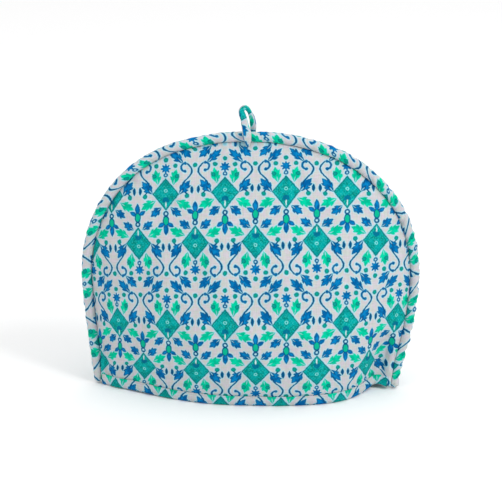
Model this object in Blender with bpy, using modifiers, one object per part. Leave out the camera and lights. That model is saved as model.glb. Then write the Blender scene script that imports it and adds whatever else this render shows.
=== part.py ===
"""A padded cotton tea cosy standing open on its hem.

Two D-shaped padded panels meet along a domed seam, with a fat corded piping in
the seam, a bound hem on each panel and a hanging loop sewn in at the top.
Millimetres in the tables and functions, metres in Blender. The front looks
towards -Y, the right-hand side is +X, and the hem stands on z = 0.
"""

import math

import bmesh
import bpy
import numpy as np

MM = 0.001

# ---------------------------------------------------------------- named sizes
CENTRE_Z = 112.0  # the outline is given round the point x = 0, z = CENTRE_Z
SEAM_GAP = 0.35  # between a panel's edge and the piping
PANEL_EDGE = 1.6  # how far a panel's face stands from the seam's middle at its edge
EDGE_THICK = 1.25  # the panel sewn flat in the seam
PAD_THICK = 5.6  # the padded panel away from its seams
PAD_REACH = 9.0  # how quickly the padding fills out from the seam
PUFF = 3.4  # the rise of the padding beside the seam
PUFF_REACH = 7.0
HEM_THICK = 2.6  # the panel pressed flat inside the hem binding
HEM_REACH = 30.0  # the height by which the padding is full again above the hem
BIND_HIGH = 10.2  # height of the hem binding
BIND_CLOTH = 1.0  # its cloth, doubled
BIND_GAP = 0.75
BIND_MARGIN = (1.0, 2.8)  # from the panel's left and right edge to the binding's ends
LEAN_REACH = 0.3  # the share of the width out to which a leaning seam is felt
HEM_SPREAD = 2.4  # how much farther apart the two panels stand at their bound corners
UNEVEN_REACH = 55.0  # height over which the hem's own plan fades into the belly
GRID_ACROSS, GRID_UP = 30, 22
PIPE_POINTS = 64
LOOP_FLAT = 0.62  # the loop's tube is pressed to this share of its width
ORIGIN_SHIFT = (-0.303, 1.623)  # moves the whole cosy so that its box is centred

# The outer edge of the cosy seen from the front.
OUTLINE = (
    # angle_deg, radius
    (-42.0, 188.2),
    (-36.0, 176.9),
    (-30.0, 170.3),
    (-24.0, 166.8),
    (-16.0, 163.6),
    (-8.0, 161.8),
    (4.0, 161.1),
    (20.0, 159.6),
    (36.0, 154.8),
    (52.0, 148.9),
    (70.0, 141.9),
    (90.0, 138.5),
    (108.0, 141.5),
    (124.0, 148.7),
    (140.0, 155.2),
    (156.0, 158.9),
    (172.0, 160.5),
    (184.0, 160.9),
    (192.0, 162.6),
    (198.0, 165.5),
    (204.0, 170.4),
    (210.0, 177.2),
    (216.0, 186.7),
    (222.0, 196.9),
)

# The piping: its radius, and how far the seam leans forward (-) or back (+).
PIPING = (
    # share of the seam from the left foot, radius, y
    (0.00, 3.7, -0.5),
    (0.025, 4.2, 0.4),
    (0.06, 4.8, 1.2),
    (0.15, 5.0, 0.6),
    (0.30, 4.8, -0.6),
    (0.42, 4.6, 0.4),
    (0.50, 4.8, 0.0),
    (0.58, 5.0, -0.3),
    (0.72, 4.7, 0.6),
    (0.85, 4.5, -1.2),
    (0.93, 4.4, -7.0),
    (0.97, 4.2, -12.0),
    (1.00, 3.9, -15.5),
)

# How far each panel bellies out at its middle, by height.
FRONT_BELLY = (
    # z, depth
    (0.0, 53.5),
    (20.0, 59.5),
    (40.0, 64.2),
    (60.0, 65.6),
    (90.0, 61.5),
    (120.0, 53.2),
    (150.0, 42.0),
    (165.0, 35.2),
    (185.0, 25.4),
    (205.0, 15.6),
    (220.0, 8.8),
    (232.0, 3.8),
    (242.0, 0.0),
    (260.0, 0.0),
)
BACK_BELLY = (
    # z, depth
    (0.0, 56.5),
    (20.0, 60.0),
    (45.0, 62.6),
    (70.0, 62.0),
    (95.0, 57.8),
    (125.0, 49.0),
    (155.0, 37.6),
    (180.0, 26.4),
    (205.0, 14.6),
    (222.0, 7.2),
    (234.0, 2.8),
    (242.0, 0.0),
    (260.0, 0.0),
)

# The plan of each panel at the hem, as a share of its belly there.
FRONT_HEM = (
    # share of the width from the middle, depth share
    (-1.00, 0.000),
    (-0.93, 0.095),
    (-0.85, 0.215),
    (-0.75, 0.370),
    (-0.63, 0.530),
    (-0.50, 0.700),
    (-0.38, 0.830),
    (-0.25, 0.918),
    (-0.10, 0.978),
    (0.05, 1.000),
    (0.20, 1.010),
    (0.35, 0.990),
    (0.44, 0.945),
    (0.53, 0.855),
    (0.625, 0.715),
    (0.690, 0.575),
    (0.745, 0.400),
    (0.800, 0.190),
    (0.850, 0.020),
    (0.890, -0.080),
    (0.930, -0.075),
    (0.965, -0.035),
    (1.00, 0.000),
)
BACK_HEM = (
    # share of the width from the middle, depth share
    (-1.00, 0.000),
    (-0.90, 0.150),
    (-0.78, 0.345),
    (-0.60, 0.600),
    (-0.40, 0.800),
    (-0.20, 0.940),
    (0.00, 1.000),
    (0.20, 0.965),
    (0.42, 0.830),
    (0.62, 0.620),
    (0.78, 0.395),
    (0.90, 0.185),
    (1.00, 0.000),
)

# Where the hem lifts clear of the table.
FRONT_LIFT = (
    # x, width of the lifted stretch, height
    (123.0, 11.0, 4.4),
    (-108.0, 22.0, 1.0),
)
BACK_LIFT = (
    # x, width of the lifted stretch, height
    (-112.0, 16.0, 1.6),
    (123.0, 12.0, 2.6),
)

# Soft troughs (-) and ridges (+) in a panel, from one end to the other.
FRONT_FOLDS = (
    # x0, z0, x1, z1, half width, height
    (-138.0, 4.0, -136.0, 46.0, 5.0, -1.6),
    (-128.0, 0.0, -118.0, 52.0, 7.0, 1.2),
    (-112.0, 8.0, -84.0, 46.0, 7.0, -1.0),
    (122.0, 20.0, 126.0, 52.0, 6.0, -1.4),
    (106.0, 2.0, 108.0, 40.0, 8.0, 1.4),
    (96.0, 40.0, 70.0, 84.0, 10.0, -0.8),
    (-60.0, 2.0, -70.0, 60.0, 14.0, -0.8),
    (30.0, 0.0, 22.0, 70.0, 16.0, 0.8),
    (-128.0, 120.0, -60.0, 150.0, 16.0, -0.9),
    (60.0, 150.0, 128.0, 118.0, 16.0, -0.8),
)
BACK_FOLDS = (
    # x0, z0, x1, z1, half width, height
    (-118.0, 2.0, -110.0, 54.0, 8.0, 1.4),
    (112.0, 4.0, 84.0, 60.0, 9.0, -1.2),
    (-40.0, 4.0, -52.0, 80.0, 15.0, -0.9),
    (50.0, 120.0, 118.0, 96.0, 16.0, -0.9),
    (-110.0, 150.0, -40.0, 170.0, 15.0, 0.8),
)

# The hanging loop's centre line, from its end in the front seam over the piping to its end in the back seam.
LOOP = (
    # x, y, z, half width
    (-1.6, -5.4, 237.6, 1.2),
    (-2.0, -7.4, 240.8, 2.4),
    (-2.6, -8.4, 245.4, 3.8),
    (-3.2, -8.1, 250.3, 4.3),
    (-4.0, -6.4, 254.3, 3.7),
    (-4.8, -5.1, 258.2, 3.4),
    (-5.8, -3.9, 262.4, 3.3),
    (-7.1, -2.6, 266.7, 3.2),
    (-8.1, -1.6, 270.0, 2.8),
    (-7.2, -0.7, 272.4, 2.5),
    (-5.0, 0.1, 273.3, 2.4),
    (-2.8, 0.8, 272.1, 2.2),
    (-1.3, 1.5, 270.2, 2.1),
    (-0.1, 2.1, 268.0, 2.2),
    (1.1, 2.9, 264.8, 2.6),
    (2.2, 3.9, 260.6, 2.8),
    (2.8, 4.9, 256.0, 2.9),
    (2.9, 6.3, 251.3, 2.9),
    (2.9, 7.5, 247.3, 2.7),
    (2.6, 7.3, 243.2, 2.2),
    (1.8, 5.3, 238.8, 1.2),
)


# ------------------------------------------------------------------ functions
def smooth(table, at, column=1):
    """A smooth curve through a table's rows, read at one place or many."""
    rows = np.array(table, float)
    x, y = rows[:, 0], rows[:, column]
    step = np.diff(y) / np.diff(x)
    slope = np.zeros(len(x))
    inner = step[:-1] * step[1:] > 0
    slope[1:-1][inner] = 2 * step[:-1][inner] * step[1:][inner] / (step[:-1] + step[1:])[inner]
    slope[0], slope[-1] = step[0], step[-1]
    at = np.clip(np.asarray(at, float), x[0], x[-1])
    i = np.clip(np.searchsorted(x, at) - 1, 0, len(x) - 2)
    width = x[i + 1] - x[i]
    s = (at - x[i]) / width
    return (
        y[i] * (1 + 2 * s) * (1 - s) ** 2
        + y[i + 1] * s * s * (3 - 2 * s)
        + width * (slope[i] * s * (1 - s) ** 2 - slope[i + 1] * s * s * (1 - s))
    )


def ease(value, low, high):
    s = np.clip((np.asarray(value, float) - low) / (high - low), 0, 1)
    return s * s * (3 - 2 * s)


def outline_points(count=480):
    """The outer edge, from the left foot over the top to the right foot, with its outward normals and its run."""
    angle = np.linspace(math.radians(222), math.radians(-42), 4 * count)
    radius = smooth(OUTLINE, np.degrees(angle))
    x, z = radius * np.cos(angle), CENTRE_Z + radius * np.sin(angle)
    above = z >= 0
    x, z = x[above], z[above]
    run = np.concatenate([[0], np.cumsum(np.hypot(np.diff(x), np.diff(z)))])
    at = np.linspace(0, run[-1], count)
    x, z = np.interp(at, run, x), np.interp(at, run, z)
    kernel = np.hanning(19)
    kernel /= kernel.sum()
    x = np.convolve(np.pad(x, 9, "reflect", reflect_type="odd"), kernel, "valid")
    z = np.convolve(np.pad(z, 9, "reflect", reflect_type="odd"), kernel, "valid")
    dx, dz = np.gradient(x), np.gradient(z)
    size = np.hypot(dx, dz)
    return np.stack([x, z], 1), np.stack([-dz / size, dx / size], 1), at / at[-1]


OUTER, NORMAL, SHARE = outline_points()
PIPE_R = smooth(PIPING, SHARE, 1)
PIPE_Y = smooth(PIPING, SHARE, 2)
PIPE_LINE = OUTER - NORMAL * PIPE_R[:, None]
EDGE = OUTER - NORMAL * (2 * PIPE_R + SEAM_GAP)[:, None]
TOP = int(EDGE[:, 1].argmax())


def edge_at(z):
    """The panel's left and right edge at a height, and the seam's y there."""
    left, right = EDGE[: TOP + 1], EDGE[TOP:][::-1]
    z = np.clip(z, 0, EDGE[TOP, 1])
    return (
        np.interp(z, left[:, 1], left[:, 0]),
        np.interp(z, right[:, 1], right[:, 0]),
        np.interp(z, left[:, 1], PIPE_Y[: TOP + 1]),
        np.interp(z, right[:, 1], PIPE_Y[TOP:][::-1]),
    )


def from_seam(x, z):
    """Distance in front view from the panel's sewn edge."""
    a, b = EDGE[:-1], EDGE[1:]
    d = b - a
    p = np.stack([np.ravel(x), np.ravel(z)], 1)[:, None]
    s = np.clip(((p - a) * d).sum(2) / (d * d).sum(1), 0, 1)
    return np.linalg.norm(p - a - s[..., None] * d, axis=2).min(1).reshape(np.shape(x))


def fold_height(folds, x, z):
    total = np.zeros(np.shape(x))
    for x0, z0, x1, z1, half, high in folds:
        dx, dz = x1 - x0, z1 - z0
        s = np.clip(((x - x0) * dx + (z - z0) * dz) / (dx * dx + dz * dz), 0, 1)
        away = np.hypot(x - x0 - s * dx, z - z0 - s * dz)
        total += high * np.exp(-((away / half) ** 2))
    return total


def face(side, x, z):
    """y of a panel's outer face at (x, z); side is -1 for the front, 1 for the back."""
    x, z = np.asarray(x, float), np.asarray(z, float)
    belly, hem, folds = (
        (FRONT_BELLY, FRONT_HEM, FRONT_FOLDS) if side < 0 else (BACK_BELLY, BACK_HEM, BACK_FOLDS)
    )
    left, right, y_left, y_right = edge_at(z)
    half = np.maximum((right - left) / 2, 1e-6)
    u = np.clip((x - (left + right) / 2) / half, -1, 1)
    depth = smooth(belly, z)
    bend = np.clip(depth / half, 1e-4, 0.9)
    radius = (1 + bend * bend) / (2 * bend)
    arc = (np.sqrt(np.maximum(radius**2 - u * u, 0)) - (radius - bend)) / bend
    own = np.exp(-((z / UNEVEN_REACH) ** 2))
    plan = own * smooth(hem, u) + (1 - own) * arc
    away = from_seam(x, z)
    rise = PUFF * (1 - np.exp(-away / PUFF_REACH)) * (0.40 + 0.60 * ease(z, BIND_HIGH - 1, HEM_REACH))
    fold = fold_height(folds, x, z) * ease(away, 0, 10)
    base = y_left * (1 - ease(u, -1, -LEAN_REACH)) + y_right * ease(u, LEAN_REACH, 1)
    apart = PANEL_EDGE + HEM_SPREAD * (1 - ease(z, BIND_HIGH, 30))
    return base + side * (apart + depth * plan + rise + fold)


def thickness(x, z):
    away = from_seam(x, z)
    full = EDGE_THICK + (PAD_THICK - EDGE_THICK) * (1 - np.exp(-away / PAD_REACH))
    at_hem = np.minimum(HEM_THICK, full)
    return at_hem + (full - at_hem) * ease(z, BIND_HIGH, HEM_REACH)


def lift(side, x, z):
    """How far the hem, and less and less the cloth above it, stands clear of the table."""
    total = np.zeros(np.shape(x))
    for at, width, high in FRONT_LIFT if side < 0 else BACK_LIFT:
        total += high * np.exp(-(((x - at) / width) ** 2))
    return total * np.exp(-np.maximum(z, 0) / 40)


def sheet_point(side, x, z):
    return np.stack([x, face(side, x, z), z + lift(side, x, z)], -1)


def panel_net(low):
    """x and z of a net that fills the D-shaped panel, from its lower edge up to its dome."""
    keep = EDGE[:, 1] >= low
    edge = EDGE[keep]
    run = np.concatenate([[0], np.cumsum(np.linalg.norm(np.diff(edge, axis=0), axis=1))])
    run /= run[-1]

    def along(share):
        return np.stack([np.interp(share, run, edge[:, k]) for k in (0, 1)], -1)

    a, b = np.meshgrid(
        np.linspace(0, 1, GRID_ACROSS + 1), np.linspace(0, 1, GRID_UP + 1), indexing="ij"
    )
    shoulder_l, shoulder_r = 0.30, 0.70
    foot_l, foot_r = along(0.0), along(1.0)
    bottom = foot_l + (foot_r - foot_l) * a[..., None]
    bottom[..., 1] = low
    top = along(shoulder_l + (shoulder_r - shoulder_l) * a)
    left, right = along(shoulder_l * b), along(1 - (1 - shoulder_r) * b)
    a, b = a[..., None], b[..., None]
    corners = (
        (1 - a) * (1 - b) * foot_l
        + a * (1 - b) * foot_r
        + (1 - a) * b * along(shoulder_l)
        + a * b * along(shoulder_r)
    )
    return (1 - b) * bottom + b * top + (1 - a) * left + a * right - corners


# -------------------------------------------------------------------- objects
def material(name, colour, roughness):
    made = bpy.data.materials.new(name)
    made.use_nodes = True
    shader = made.node_tree.nodes["Principled BSDF"]
    shader.inputs["Base Color"].default_value = (*colour, 1)
    shader.inputs["Roughness"].default_value = roughness
    shader.inputs["Metallic"].default_value = 0
    return made


def place(data, name, colour, collection, parent):
    made = bpy.data.objects.new(name, data)
    made.data.materials.append(colour)
    collection.objects.link(made)
    made.parent = parent
    return made


def make_panel(name, side, colour, collection, parent):
    """A grid pulled to the panel's shape, given its padding by Solidify."""
    low = BIND_CLOTH + BIND_GAP
    net = panel_net(low)
    points = sheet_point(side, net[..., 0], net[..., 1])
    thick = thickness(net[..., 0], net[..., 1])
    mesh = bmesh.new()
    bmesh.ops.create_grid(mesh, x_segments=GRID_ACROSS, y_segments=GRID_UP, size=1)
    order = {}
    for v in mesh.verts:
        i = round((v.co.x + 1) / 2 * GRID_ACROSS)
        j = round((v.co.y + 1) / 2 * GRID_UP)
        order[v.index] = (i, j)
        v.co = points[i, j] * MM
    if side > 0:
        bmesh.ops.reverse_faces(mesh, faces=mesh.faces[:])
    data = bpy.data.meshes.new(name)
    mesh.to_mesh(data)
    mesh.free()
    made = place(data, name, colour, collection, parent)
    group = made.vertex_groups.new(name="padding")
    for index, (i, j) in order.items():
        group.add([index], float(thick[i, j] / PAD_THICK), "REPLACE")
    shell = made.modifiers.new("padding", "SOLIDIFY")
    shell.thickness = PAD_THICK * MM
    shell.offset = -1
    shell.vertex_group = "padding"
    return made


def hem_frame(side, x, z):
    """Points of the outer face at a height and the level normals of the line through them."""
    p = sheet_point(side, x, np.full(len(x), z))
    d = np.diff(p, axis=0)
    d /= np.linalg.norm(d, axis=1)[:, None]
    d = np.concatenate([d[:1], (d[1:] + d[:-1]) / 2, d[-1:]])
    n = np.stack([d[:, 1], -d[:, 0], np.zeros(len(x))], -1) * (1 if side < 0 else -1)
    return p, n / np.linalg.norm(n, axis=1)[:, None]


def make_binding(name, side, colour, collection, parent):
    """A strip folded round the panel's lower edge, given its thickness by Solidify."""
    net = panel_net(BIND_CLOTH + BIND_GAP)
    rows = []
    for high, inside in ((BIND_HIGH, 0), (0.0, 0), (0.0, 1), (BIND_HIGH, 1)):
        x = np.array([np.interp(high, column[:, 1], column[:, 0]) for column in net])
        x[0] += BIND_MARGIN[0]
        x[-1] -= BIND_MARGIN[1]
        thick = thickness(x, np.full(len(x), high))[:, None]
        p, n = hem_frame(side, x, high)
        away = BIND_GAP + BIND_CLOTH
        rows.append(p - n * (thick + away) if inside else p + n * away)
    rows = np.stack(rows, 1)
    mesh = bmesh.new()
    bmesh.ops.create_grid(mesh, x_segments=GRID_ACROSS, y_segments=3, size=1)
    for v in mesh.verts:
        i = round((v.co.x + 1) / 2 * GRID_ACROSS)
        j = round((v.co.y + 1) / 2 * 3)
        v.co = rows[i, j] * MM
    if side < 0:
        bmesh.ops.reverse_faces(mesh, faces=mesh.faces[:])
    data = bpy.data.meshes.new(name)
    mesh.to_mesh(data)
    mesh.free()
    made = place(data, name, colour, collection, parent)
    shell = made.modifiers.new("doubled cloth", "SOLIDIFY")
    shell.thickness = BIND_CLOTH * MM
    shell.offset = -1
    shell.use_even_offset = True
    return made


def make_tube(name, points, radii, colour, collection, parent, sides=3, flat=1.0):
    curve = bpy.data.curves.new(name, "CURVE")
    curve.dimensions = "3D"
    curve.bevel_depth = MM
    curve.bevel_resolution = sides
    curve.use_fill_caps = True
    spline = curve.splines.new("POLY")
    spline.points.add(len(points) - 1)
    for target, (x, y, z), radius in zip(spline.points, points, radii):
        target.co = (x * MM, y * MM / flat, z * MM, 1)
        target.radius = float(radius)
    made = place(curve, name, colour, collection, parent)
    made.scale = (1, flat, 1)
    return made


def fine_line(rows, count):
    """Points evenly along a smooth line through a table's rows, with the last column carried."""
    rows = np.array(rows, float)
    knots = np.concatenate(
        [[0], np.cumsum(np.linalg.norm(np.diff(rows[:, :3], axis=0), axis=1))]
    )
    at = np.linspace(0, knots[-1], count)
    return np.stack(
        [smooth(np.stack([knots, rows[:, k]], 1), at) for k in range(rows.shape[1])], 1
    )


def main():
    for obj in list(bpy.data.objects):
        bpy.data.objects.remove(obj, do_unlink=True)
    cosy = bpy.data.collections.new("tea_cosy")
    bpy.context.scene.collection.children.link(cosy)
    root = bpy.data.objects.new("cosy_frame", None)
    root.location = (ORIGIN_SHIFT[0] * MM, ORIGIN_SHIFT[1] * MM, 0)
    cosy.objects.link(root)

    make_panel("panel_front", -1, material("front print", (0.36, 0.62, 0.66), 0.85), cosy, root)
    make_panel("panel_back", 1, material("back print", (0.34, 0.60, 0.65), 0.85), cosy, root)
    make_binding("hem_binding_front", -1, material("front binding", (0.20, 0.48, 0.56), 0.85), cosy, root)
    make_binding("hem_binding_back", 1, material("back binding", (0.20, 0.48, 0.56), 0.85), cosy, root)

    share = np.linspace(0, 1, PIPE_POINTS)
    line = np.stack(
        [
            np.interp(share, SHARE, PIPE_LINE[:, 0]),
            np.interp(share, SHARE, PIPE_Y),
            np.maximum(np.interp(share, SHARE, PIPE_LINE[:, 1]), 0.6),
        ],
        1,
    )
    make_tube(
        "piping",
        line,
        np.interp(share, SHARE, PIPE_R),
        material("piping print", (0.24, 0.52, 0.56), 0.85),
        cosy,
        root,
    )
    loop = fine_line(LOOP, 46)
    make_tube(
        "loop",
        loop[:, :3],
        loop[:, 3],
        material("loop print", (0.05, 0.45, 0.52), 0.85),
        cosy,
        root,
        flat=LOOP_FLAT,
    )


main()
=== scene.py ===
"""The looks of the tea cosy: two printed, padded panels, a corded piping, a
hanging loop and two hem bindings. Millimetres in the tables and functions,
metres in Blender. The front looks towards -Y."""

import math

import bmesh
import bpy
import numpy as np
from mathutils import Euler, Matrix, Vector


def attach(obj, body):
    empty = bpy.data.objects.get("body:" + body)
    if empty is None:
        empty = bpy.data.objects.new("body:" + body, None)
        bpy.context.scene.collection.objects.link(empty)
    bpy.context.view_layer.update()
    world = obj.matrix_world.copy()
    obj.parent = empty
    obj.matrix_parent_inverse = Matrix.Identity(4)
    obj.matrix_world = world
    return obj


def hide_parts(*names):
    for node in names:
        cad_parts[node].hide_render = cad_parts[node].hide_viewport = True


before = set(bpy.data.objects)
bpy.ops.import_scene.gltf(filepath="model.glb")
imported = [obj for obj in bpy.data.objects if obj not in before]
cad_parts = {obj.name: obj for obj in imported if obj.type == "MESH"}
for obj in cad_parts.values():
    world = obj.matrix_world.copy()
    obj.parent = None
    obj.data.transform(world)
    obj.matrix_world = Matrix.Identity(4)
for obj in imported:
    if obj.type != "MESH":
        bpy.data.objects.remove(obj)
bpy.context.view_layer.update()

MM = 0.001
UNIT = 0.944  # millimetres of cloth in one unit of the print

# ------------------------------------------------ the shape, as in the CAD
CENTRE_Z = 112.0
SEAM_GAP = 0.35
PANEL_EDGE = 1.6
EDGE_THICK = 1.25
PAD_THICK = 5.6
PAD_REACH = 9.0
PUFF = 3.4
PUFF_REACH = 7.0
HEM_THICK = 2.6
HEM_REACH = 30.0
BIND_HIGH = 10.2
BIND_CLOTH = 1.0
BIND_GAP = 0.75
BIND_MARGIN = (1.0, 2.8)
LEAN_REACH = 0.3
HEM_SPREAD = 2.4
UNEVEN_REACH = 55.0
LOOP_FLAT = 0.62
ORIGIN_SHIFT = (-0.303, 1.623)

OUTLINE = (
    (-42.0, 188.2), (-36.0, 176.9), (-30.0, 170.3), (-24.0, 166.8), (-16.0, 163.6), (-8.0, 161.8),
    (4.0, 161.1), (20.0, 159.6), (36.0, 154.8), (52.0, 148.9), (70.0, 141.9), (90.0, 138.5),
    (108.0, 141.5), (124.0, 148.7), (140.0, 155.2), (156.0, 158.9), (172.0, 160.5), (184.0, 160.9),
    (192.0, 162.6), (198.0, 165.5), (204.0, 170.4), (210.0, 177.2), (216.0, 186.7), (222.0, 196.9),
)
PIPING = (
    (0.00, 3.7, -0.5), (0.025, 4.2, 0.4), (0.06, 4.8, 1.2), (0.15, 5.0, 0.6), (0.30, 4.8, -0.6),
    (0.42, 4.6, 0.4), (0.50, 4.8, 0.0), (0.58, 5.0, -0.3), (0.72, 4.7, 0.6), (0.85, 4.5, -1.2),
    (0.93, 4.4, -7.0), (0.97, 4.2, -12.0), (1.00, 3.9, -15.5),
)
FRONT_BELLY = (
    (0.0, 53.5), (20.0, 59.5), (40.0, 64.2), (60.0, 65.6), (90.0, 61.5), (120.0, 53.2), (150.0, 42.0),
    (165.0, 35.2), (185.0, 25.4), (205.0, 15.6), (220.0, 8.8), (232.0, 3.8), (242.0, 0.0), (260.0, 0.0),
)
BACK_BELLY = (
    (0.0, 56.5), (20.0, 60.0), (45.0, 62.6), (70.0, 62.0), (95.0, 57.8), (125.0, 49.0), (155.0, 37.6),
    (180.0, 26.4), (205.0, 14.6), (222.0, 7.2), (234.0, 2.8), (242.0, 0.0), (260.0, 0.0),
)
FRONT_HEM = (
    (-1.00, 0.000), (-0.93, 0.095), (-0.85, 0.215), (-0.75, 0.370), (-0.63, 0.530), (-0.50, 0.700),
    (-0.38, 0.830), (-0.25, 0.918), (-0.10, 0.978), (0.05, 1.000), (0.20, 1.010), (0.35, 0.990),
    (0.44, 0.945), (0.53, 0.855), (0.625, 0.715), (0.690, 0.575), (0.745, 0.400), (0.800, 0.190),
    (0.850, 0.020), (0.890, -0.080), (0.930, -0.075), (0.965, -0.035), (1.00, 0.000),
)
BACK_HEM = (
    (-1.00, 0.000), (-0.90, 0.150), (-0.78, 0.345), (-0.60, 0.600), (-0.40, 0.800), (-0.20, 0.940),
    (0.00, 1.000), (0.20, 0.965), (0.42, 0.830), (0.62, 0.620), (0.78, 0.395), (0.90, 0.185), (1.00, 0.000),
)
FRONT_LIFT = ((123.0, 11.0, 4.4), (-108.0, 22.0, 1.0))
BACK_LIFT = ((-112.0, 16.0, 1.6), (123.0, 12.0, 2.6))
FRONT_FOLDS = (
    (-138.0, 4.0, -136.0, 46.0, 5.0, -1.6), (-128.0, 0.0, -118.0, 52.0, 7.0, 1.2),
    (-112.0, 8.0, -84.0, 46.0, 7.0, -1.0), (122.0, 20.0, 126.0, 52.0, 6.0, -1.4),
    (106.0, 2.0, 108.0, 40.0, 8.0, 1.4), (96.0, 40.0, 70.0, 84.0, 10.0, -0.8),
    (-60.0, 2.0, -70.0, 60.0, 14.0, -0.8), (30.0, 0.0, 22.0, 70.0, 16.0, 0.8),
    (-128.0, 120.0, -60.0, 150.0, 16.0, -0.9), (60.0, 150.0, 128.0, 118.0, 16.0, -0.8),
)
BACK_FOLDS = (
    (-118.0, 2.0, -110.0, 54.0, 8.0, 1.4), (112.0, 4.0, 84.0, 60.0, 9.0, -1.2),
    (-40.0, 4.0, -52.0, 80.0, 15.0, -0.9), (50.0, 120.0, 118.0, 96.0, 16.0, -0.9),
    (-110.0, 150.0, -40.0, 170.0, 15.0, 0.8),
)
LOOP = (
    (-1.6, -5.4, 237.6, 1.2), (-2.0, -7.4, 240.8, 2.4), (-2.6, -8.4, 245.4, 3.8), (-3.2, -8.1, 250.3, 4.3),
    (-4.0, -6.4, 254.3, 3.7), (-4.8, -5.1, 258.2, 3.4), (-5.8, -3.9, 262.4, 3.3), (-7.1, -2.6, 266.7, 3.2),
    (-8.1, -1.6, 270.0, 2.8), (-7.2, -0.7, 272.4, 2.5), (-5.0, 0.1, 273.3, 2.4), (-2.8, 0.8, 272.1, 2.2),
    (-1.3, 1.5, 270.2, 2.1), (-0.1, 2.1, 268.0, 2.2), (1.1, 2.9, 264.8, 2.6), (2.2, 3.9, 260.6, 2.8),
    (2.8, 4.9, 256.0, 2.9), (2.9, 6.3, 251.3, 2.9), (2.9, 7.5, 247.3, 2.7), (2.6, 7.3, 243.2, 2.2),
    (1.8, 5.3, 238.8, 1.2),
)


def smooth(table, at, column=1):
    rows = np.array(table, float)
    x, y = rows[:, 0], rows[:, column]
    step = np.diff(y) / np.diff(x)
    slope = np.zeros(len(x))
    inner = step[:-1] * step[1:] > 0
    slope[1:-1][inner] = 2 * step[:-1][inner] * step[1:][inner] / (step[:-1] + step[1:])[inner]
    slope[0], slope[-1] = step[0], step[-1]
    at = np.clip(np.asarray(at, float), x[0], x[-1])
    i = np.clip(np.searchsorted(x, at) - 1, 0, len(x) - 2)
    width = x[i + 1] - x[i]
    s = (at - x[i]) / width
    return (
        y[i] * (1 + 2 * s) * (1 - s) ** 2
        + y[i + 1] * s * s * (3 - 2 * s)
        + width * (slope[i] * s * (1 - s) ** 2 - slope[i + 1] * s * s * (1 - s))
    )


def ease(value, low, high):
    s = np.clip((np.asarray(value, float) - low) / (high - low), 0, 1)
    return s * s * (3 - 2 * s)


def outline_points(count=480):
    angle = np.linspace(math.radians(222), math.radians(-42), 4 * count)
    radius = smooth(OUTLINE, np.degrees(angle))
    x, z = radius * np.cos(angle), CENTRE_Z + radius * np.sin(angle)
    above = z >= 0
    x, z = x[above], z[above]
    run = np.concatenate([[0], np.cumsum(np.hypot(np.diff(x), np.diff(z)))])
    at = np.linspace(0, run[-1], count)
    x, z = np.interp(at, run, x), np.interp(at, run, z)
    kernel = np.hanning(19)
    kernel /= kernel.sum()
    x = np.convolve(np.pad(x, 9, "reflect", reflect_type="odd"), kernel, "valid")
    z = np.convolve(np.pad(z, 9, "reflect", reflect_type="odd"), kernel, "valid")
    dx, dz = np.gradient(x), np.gradient(z)
    size = np.hypot(dx, dz)
    return np.stack([x, z], 1), np.stack([-dz / size, dx / size], 1), at / at[-1]


OUTER, NORMAL, SHARE = outline_points()
PIPE_R = smooth(PIPING, SHARE, 1)
PIPE_Y = smooth(PIPING, SHARE, 2)
PIPE_LINE = OUTER - NORMAL * PIPE_R[:, None]
EDGE = OUTER - NORMAL * (2 * PIPE_R + SEAM_GAP)[:, None]
TOP = int(EDGE[:, 1].argmax())
PIPE_RUN = np.concatenate([[0], np.cumsum(np.linalg.norm(np.diff(PIPE_LINE, axis=0), axis=1))])
EDGE_RUN = np.concatenate([[0], np.cumsum(np.linalg.norm(np.diff(EDGE, axis=0), axis=1))])


def edge_at(z):
    left, right = EDGE[: TOP + 1], EDGE[TOP:][::-1]
    z = np.clip(z, 0, EDGE[TOP, 1])
    return (
        np.interp(z, left[:, 1], left[:, 0]),
        np.interp(z, right[:, 1], right[:, 0]),
        np.interp(z, left[:, 1], PIPE_Y[: TOP + 1]),
        np.interp(z, right[:, 1], PIPE_Y[TOP:][::-1]),
    )


def seam_near(x, z):
    """Distance from the sewn edge, and the run along it of the nearest point."""
    shape = np.shape(x)
    x, z = np.ravel(x), np.ravel(z)
    a, b = EDGE[:-1], EDGE[1:]
    d = b - a
    dd = (d * d).sum(1)
    away, run = np.empty(len(x)), np.empty(len(x))
    for start in range(0, len(x), 4000):
        px, pz = x[start : start + 4000, None] - a[:, 0], z[start : start + 4000, None] - a[:, 1]
        s = np.clip((px * d[:, 0] + pz * d[:, 1]) / dd, 0, 1)
        far = np.hypot(px - s * d[:, 0], pz - s * d[:, 1])
        k = far.argmin(1)
        i = np.arange(len(k))
        away[start : start + 4000] = far[i, k]
        run[start : start + 4000] = EDGE_RUN[k] + s[i, k] * np.sqrt(dd[k])
    return away.reshape(shape), run.reshape(shape)


def fold_height(folds, x, z):
    total = np.zeros(np.shape(x))
    for x0, z0, x1, z1, half, high in folds:
        dx, dz = x1 - x0, z1 - z0
        s = np.clip(((x - x0) * dx + (z - z0) * dz) / (dx * dx + dz * dz), 0, 1)
        away = np.hypot(x - x0 - s * dx, z - z0 - s * dz)
        total += high * np.exp(-((away / half) ** 2))
    return total


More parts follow.
